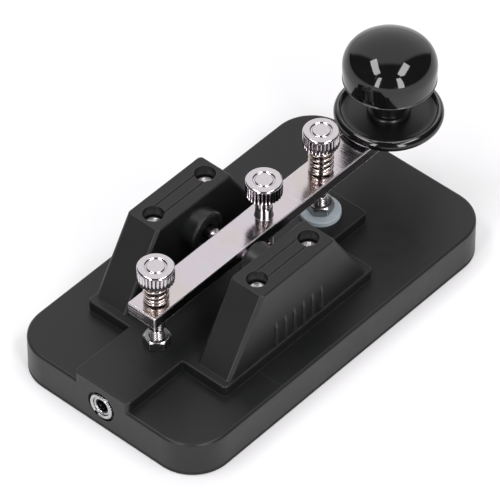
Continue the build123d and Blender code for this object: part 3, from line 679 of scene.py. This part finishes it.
# springs: round wire with closed end turns
def coil_spring(name, node, wire, coil, turns, split=None):
    """Spring of round wire; turns are its closed, active and closed turns.

    With split the wire is cut in two pieces at its turn number split.
    """
    closed_low, active, closed_high = turns
    low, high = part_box(node)
    x, y = centre(node).xy
    bottom = low.z + wire
    top = high.z - wire
    flat = CLOSED_SPACING * wire
    pitch = (top - bottom - flat * (closed_low + closed_high)) / active
    total = closed_low + active + closed_high
    count = round(total * TURN_POINTS)

    def height(t):
        """Level of the wire's middle after t turns, with eased changes of pitch."""
        z = bottom
        steps = 60
        for i in range(steps):
            u = t * (i + 0.5) / steps
            a = min(1.0, max(0.0, (u - closed_low) / PITCH_EASE + 0.5))
            b = min(1.0, max(0.0, (closed_low + active - u) / PITCH_EASE + 0.5))
            z += t / steps * (flat + (pitch - flat) * a * b)
        return z

    def stretch(label, first, last):
        """The wire from its point number first to its point number last."""
        shape = Shape()
        before = None
        for i in range(first, last + 1):
            t = total * i / count
            a = 2 * math.pi * t + SPRING_START
            z = min(height(t), top)
            out = Vector((math.cos(a), math.sin(a), 0))
            slope = (height(t + 0.01) - height(t)) / (0.01 * 2 * math.pi * coil)
            along = Vector((-math.sin(a), math.cos(a), slope)).normalized()
            across = along.cross(out)
            middle = Vector((x, y, z)) + out * coil
            radius = wire * (GROUND_END if i in (0, count) else 1.0)
            ring = shape.ring([
                tuple(middle + (out * math.cos(b) + across * math.sin(b)) * radius)
                for b in (2 * math.pi * k / WIRE_COLUMNS for k in range(WIRE_COLUMNS))
            ])
            if before:
                shape.join(ring, before)
            else:
                shape.cap(ring, tuple(middle))
            before = ring
        shape.cap(before, tuple(middle), flip=True)
        return make_piece(label, shape, "spring_nickel", node, sharp=60)

    if split is None:
        piece = stretch(name, 0, count)
        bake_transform(piece)
        return
    cut = round(split * TURN_POINTS)
    level = height(total * cut / count)
    lower = stretch(name + "_lower", 0, cut)
    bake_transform(lower)
    upper = stretch(name + "_upper", cut, count)
    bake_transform(upper)


coil_spring(
    "stop_spring", "stop_lock_spring",
    wire=0.43 * MM, coil=3.22 * MM, turns=(2.0, 2.1, 0.5),
)
coil_spring(
    "contact_spring", "contact_lock_spring",
    wire=0.45 * MM, coil=3.20 * MM, turns=(1.5, 3.5, 0.5),
)
coil_spring(
    "tension_spring", "return_spring",
    wire=0.30 * MM, coil=2.45 * MM, turns=(1.0, 4.2, 1.0), split=2.0,
)


# hexagon nuts with turned corners and countersunk threads
def hex_nut(name, node):
    low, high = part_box(node)
    x, y = centre(node).xy
    far = max(NODES[node].data.vertices, key=lambda v: (v.co.x - x) ** 2 + (v.co.y - y) ** 2).co
    corner = math.atan2(far.y - y, far.x - x)
    reach = math.hypot(far.x - x, far.y - y)
    flat = reach * math.cos(math.pi / 6)
    shape = Shape()

    def hexagon(level):
        """Radius of the nut's side at a level: six flats, blunt corners, turned back at both ends."""
        limit = flat * 0.955 + math.sqrt(3) * min(level - low.z, high.z - level)

        def radius(a):
            turn = (a - corner) % (math.pi / 3) - math.pi / 6
            return min(flat / math.cos(turn), reach * 0.985, limit)

        return radius

    rings = []
    for share in (0.0, 0.03, 0.07, 0.11, 0.15, 0.2, 0.5, 0.8, 0.85, 0.89, 0.93, 0.97, 1.0):
        z = low.z + (high.z - low.z) * share
        rings.append(shape.ring(around(x, y, z, hexagon(z), ROUND_COLUMNS)))
    sink = NUT_BORE + NUT_SINK
    for r, z in ((sink, high.z), (NUT_BORE, high.z - NUT_SINK), (NUT_BORE, low.z + NUT_SINK), (sink, low.z)):
        rings.append(shape.ring(around(x, y, z, r, ROUND_COLUMNS)))
    shape.close(rings)
    return make_piece(name, shape, "nut_zinc", node, "base", sharp=25)


hex_nut("stop_hex_nut", "stop_nut")
hex_nut("contact_hex_nut", "contact_nut")


# bolts with a threaded stem standing through the deck
def threaded_bolt(name, node):
    low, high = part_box(node)
    x, y = centre(node).xy
    head = (high.x - low.x) / 2
    seat = low.z + BOLT_HEAD_HEIGHT
    shape = Shape()
    last = shape.ring(around(x, y, low.z, head * 0.3, BOLT_COLUMNS))
    shape.cap(last, (x, y, low.z + 0.5 * MM), flip=True)
    head_profile = (
        (head * 0.62, low.z + 0.12 * MM), (head * 0.85, low.z + 0.5 * MM), (head * 0.97, low.z + 1.0 * MM),
        (head, low.z + 1.6 * MM), (head, seat - 0.1 * MM), (head - 0.1 * MM, seat),
        (BOLT_STEM + 0.1 * MM, seat), (BOLT_STEM - 0.05 * MM, seat + 0.1 * MM), (BOLT_ROOT, seat + 0.3 * MM),
    )
    last = shape.grow(last, x, y, head_profile, BOLT_COLUMNS)
    last = thread_rings(
        shape, x, y, seat + 0.35 * MM, high.z - 0.3 * MM, BOLT_STEM, BOLT_ROOT, BOLT_PITCH,
        BOLT_COLUMNS, last,
    )
    last = shape.grow(last, x, y, ((BOLT_STEM - 0.5 * MM, high.z),), BOLT_COLUMNS)
    shape.cap(last, (x, y, high.z))
    return make_piece(name, shape, "screw_steel", node, "base", sharp=50)


threaded_bolt("stop_threaded_bolt", "stop_bolt")
threaded_bolt("contact_threaded_bolt", "contact_bolt")


# pan-head tower screws with a cross recess
def cross_recess(r, a):
    """1 in a cross with one arm along angle 0, fading at the arms' sides and ends; r is in millimetres."""
    depth = 0.0
    for quarter in (0, math.pi / 2):
        along = abs(r * math.cos(a - quarter))
        across = abs(r * math.sin(a - quarter))
        arm = min(1.0, max(0.0, (0.62 - across) / 0.3)) * min(1.0, max(0.0, (1.95 - along) / 0.75))
        depth = max(depth, arm)
    return depth


def pan_screws(name, node):
    """Four screws at the corners of the node's box, each turned a little differently."""
    low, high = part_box(node)
    middle = centre(node)
    reach_x = (high.x - low.x) / 2 - PAN_RADIUS
    reach_y = (high.y - low.y) / 2 - PAN_RADIUS
    seat = high.z - PAN_HEIGHT
    side = (
        (1.2 * MM, low.z + 1.2 * MM), (PAN_STEM, low.z + 2.0 * MM), (PAN_STEM, seat),
        (PAN_RADIUS - 0.15 * MM, seat), (PAN_RADIUS, seat + 0.15 * MM), (PAN_RADIUS, seat + 0.8 * MM),
        (PAN_RADIUS - 0.05 * MM, seat + 1.15 * MM), (PAN_RADIUS - 0.2 * MM, seat + 1.42 * MM),
    )
    face_rings = 22
    shape = Shape()
    for sx in (-1, 1):
        for sy in (-1, 1):
            x = middle.x + sx * reach_x
            y = middle.y + sy * reach_y
            spin = math.radians(30 + 17 * sx + 11 * sy)

            def level(a, r):
                """Height of the head's face: a dome with a cross pressed into it."""
                share = r / PAN_RADIUS
                recess = RECESS_DEPTH * cross_recess(r / MM, a - spin) * (1 - 0.35 * share)
                return high.z - PAN_DOME * share ** 2 - recess

            last = shape.ring(around(x, y, low.z, 0.35 * MM, ROUND_COLUMNS))
            shape.cap(last, (x, y, low.z), flip=True)
            last = shape.grow(last, x, y, side, ROUND_COLUMNS)
            for k in range(face_rings, 0, -1):
                r = (PAN_RADIUS - 0.3 * MM) * k / face_rings
                ring = shape.ring([
                    (x + r * math.cos(a), y + r * math.sin(a), level(a, r))
                    for a in (2 * math.pi * i / ROUND_COLUMNS for i in range(ROUND_COLUMNS))
                ])
                shape.join(last, ring)
                last = ring
            shape.cap(last, (x, y, level(0.0, 0.0)))
    # the heads take the lighter copy of screw_steel, which paints light on them
    return make_piece(name, shape, "screw_steel", node, "base", sharp=40, finish="screw_steel_lit")


pan_screws("tower_pan_screws", "tower_screws")


# jack: ring nut with a knurled edge and two key slots, sleeve with a rolled lip and an inner thread
def facing(x, y, z, radius, count):
    """A ring round the jack's axis, along X; radius is a number or a function of the angle."""
    points = []
    for i in range(count):
        a = 2 * math.pi * i / count
        r = radius(a) if callable(radius) else radius
        points.append((x, y + r * math.cos(a), z + r * math.sin(a)))
    return points


def jack_ring(name, node):
    low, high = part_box(node)
    y, z = centre(node).yz
    outer = (high.y - low.y) / 2
    shape = Shape()

    def knurl(a):
        return outer - KNURL_DEPTH * (0.5 - 0.5 * math.cos(KNURLS * a))

    def slot(a, r):
        """1 in the two key slots across the ring's face."""
        across = abs(r * math.sin(a - KEY_SLOT_TURN)) / MM
        return min(1.0, max(0.0, (0.62 - across) / 0.12))

    def face_ring(r, drop):
        """A ring of the end face, drop millimetres behind its highest line and deeper in the key slots."""
        points = []
        for i in range(RING_COLUMNS):
            a = 2 * math.pi * i / RING_COLUMNS
            radius = min(r, knurl(a))
            deep = max(drop, KEY_SLOT_DEPTH * slot(a, radius))
            points.append((low.x + deep * MM, y + radius * math.cos(a), z + radius * math.sin(a)))
        return shape.ring(points)

    back = (
        (RING_BORE, high.x), (outer - 0.3 * MM, high.x), (knurl, high.x - 0.15 * MM),
        (knurl, low.x + 0.70 * MM),
    )
    rings = [shape.ring(facing(x, y, z, r, RING_COLUMNS)) for r, x in back]
    for r, drop in (
        (outer, 0.34), (outer - 0.12 * MM, 0.12), (outer - 0.28 * MM, 0.0), (outer - 0.55 * MM, 0.0),
        (outer - 0.66 * MM, 0.10), (outer - 0.80 * MM, 0.12), (RING_BORE + 0.06 * MM, 0.12),
        (RING_BORE, 0.20),
    ):
        rings.append(face_ring(r, drop))
    shape.close(rings[::-1])
    return make_piece(name, shape, "nickel", node, "base", sharp=35, finish="jack_metal")


def jack_sleeve(name, node):
    low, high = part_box(node)
    y, z = centre(node).yz
    outer = (high.y - low.y) / 2
    bore = SLEEVE_BORE
    profile = [
        (outer, high.x), (outer, low.x + 0.28 * MM), (outer - 0.08 * MM, low.x + 0.12 * MM),
        (outer - 0.24 * MM, low.x + 0.02 * MM), (outer - 0.36 * MM, low.x), (bore + 0.66 * MM, low.x),
        (bore + 0.55 * MM, low.x + 0.08 * MM), (bore + 0.50 * MM, low.x + 0.22 * MM),
        (bore + 0.34 * MM, low.x + 0.26 * MM), (bore + 0.14 * MM, low.x + 0.30 * MM),
        (bore, low.x + 0.48 * MM),
    ]
    for k in range(SLEEVE_RIBS):
        x = low.x + (0.6 + k * 0.5) * MM
        profile += [(bore, x), (bore + 0.12 * MM, x + 0.22 * MM)]
    profile.append((bore, high.x))
    shape = Shape()
    rings = [shape.ring(facing(x, y, z, r, SLEEVE_COLUMNS)) for r, x in profile]
    shape.close(rings[::-1])
    return make_piece(name, shape, "nickel", node, "base", sharp=35, finish="jack_mouth")


jack_ring("jack_ring_nut", "jack_nut")
jack_sleeve("jack_sleeve", "jack_bush")


# ---------------------------------------------------------------- camera, floor, lights, world

CAMERA_PLACE = Vector((-0.74623, -0.66224, 1.01829))
CAMERA_BACK = Vector((-0.5286, -0.4702, 0.7067)).normalized()
CAMERA_RIGHT = Vector((0.6646, -0.7472, 0.0)).normalized()
CAMERA_LENS = 364.85
AHEAD = Vector((-CAMERA_BACK.x, -CAMERA_BACK.y, 0)).normalized()
UPRIGHT = Vector((0, 0, 1))


def add_object(name, data):
    obj = bpy.data.objects.new(name, data)
    bpy.context.scene.collection.objects.link(obj)
    return obj


def turned(x, y, z, place):
    """A matrix with the given axes and place."""
    rows = [(x[i], y[i], z[i], place[i]) for i in range(3)]
    return Matrix((*rows, (0, 0, 0, 1)))


def studio_camera():
    camera = add_object("camera", bpy.data.cameras.new("camera"))
    camera.data.lens = CAMERA_LENS
    camera.data.sensor_width = 36.0
    camera.data.clip_start = 0.05
    camera.data.clip_end = 100.0
    camera.matrix_world = turned(CAMERA_RIGHT, CAMERA_BACK.cross(CAMERA_RIGHT), CAMERA_BACK, CAMERA_PLACE)
    return camera


bpy.context.scene.camera = studio_camera()


def pale_floor(reach, level):
    mesh = bpy.data.meshes.new("floor")
    corners = [(x * reach, y * reach, level) for x, y in ((-1, -1), (1, -1), (1, 1), (-1, 1))]
    mesh.from_pydata(corners, [], [(0, 1, 2, 3)])
    p = Paint("floor", Roughness=0.9, Specular_IOR_Level=0.1)
    p.put("Emission_Color", (1, 1, 1))
    p.put("Emission_Strength", 0.21)
    p.put("Base_Color", p.mix(p.remap(p.noise(3, 2), 0.3, 0.7), (0.71, 0.71, 0.71), (0.72, 0.72, 0.72)))
    mesh.materials.append(p.mat)
    return add_object("floor", mesh)


floor = pale_floor(40, -0.2 * MM)

KNOB_SIDE = Vector((0.05, 0.0, 0.05))
RADIANCE = 9.5
LIGHT_TINT = (1.0, 0.98, 1.0)
STRIP_HEIGHT = 2.6
TALL_DISTANCE = 2.6


def at(right, ahead, up):
    """A place given along the camera's right, ahead and up, from beside the knob."""
    return KNOB_SIDE + CAMERA_RIGHT * right + AHEAD * ahead + UPRIGHT * up


def panel(name, place, size, aim, long_way):
    """A soft rectangular light that looks at aim, with its second side along long_way."""
    data = bpy.data.lights.new(name, "AREA")
    data.shape = "RECTANGLE"
    data.size, data.size_y = size
    data.color = LIGHT_TINT
    data.energy = RADIANCE * math.pi * size[0] * size[1]
    z = (place - aim).normalized()
    y = (long_way - long_way.dot(z) * z).normalized()
    light = add_object(name, data)
    light.matrix_world = turned(y.cross(z), y, z, place)
    light.visible_camera = False


# two strips high over the knob make its window-like highlights, and two tall ones stand behind the camera
for name, right, ahead, width, length, lean in (
    ("strip_left", -0.505, -0.145, 0.23, 0.60, -0.10),
    ("strip_right", 0.47, -0.27, 0.24, 0.53, 0.38),
):
    place = at(right * STRIP_HEIGHT, ahead * STRIP_HEIGHT, STRIP_HEIGHT)
    size = (width * STRIP_HEIGHT, length * STRIP_HEIGHT)
    panel(name, place, size, KNOB_SIDE, CAMERA_RIGHT * lean + AHEAD)
for name, turn, width in (("tall_left", -150.0, 0.17), ("tall_right", 156.0, 0.23)):
    right = math.sin(math.radians(turn)) * TALL_DISTANCE
    ahead = math.cos(math.radians(turn)) * TALL_DISTANCE
    middle = 0.62 * TALL_DISTANCE
    size = (width * TALL_DISTANCE, 1.1 * TALL_DISTANCE)
    panel(name, at(right, ahead, middle), size, at(0, 0, middle), UPRIGHT)


def studio_world():
    """White sweep ahead that widens overhead, a dark room behind, and a pale band along the horizon."""
    world = bpy.data.worlds.new("studio")
    world.use_nodes = True
    g = Graph(world.node_tree, "Generated")
    ahead, right, up = g.dot(AHEAD), g.dot(CAMERA_RIGHT), g.dot(UPRIGHT)
    wide = g.math("SUBTRACT", g.math("ADD", ahead, g.math("MULTIPLY", up, 0.42)), g.math("ABSOLUTE", right))
    deep = g.math("ADD", ahead, g.math("MULTIPLY", up, 0.10))
    sweep = g.remap(g.math("MINIMUM", wide, deep), -0.07, 0.09, 0.0, 1.0, smooth=True)
    horizon = g.remap(up, 0.06, 0.10, 1.0, 0.0, smooth=True)
    colour = g.mix(g.math("MAXIMUM", sweep, horizon), (0.06, 0.06, 0.065), (1.0, 0.985, 1.0))
    background = g.tree.nodes.new("ShaderNodeBackground")
    output = g.tree.nodes.new("ShaderNodeOutputWorld")
    g.link(colour, background.inputs[0])
    g.link(background.outputs[0], output.inputs[0])
    return world


bpy.context.scene.world = studio_world()

bpy.context.scene.view_settings.view_transform = "Standard"
bpy.context.scene.view_settings.look = "None"
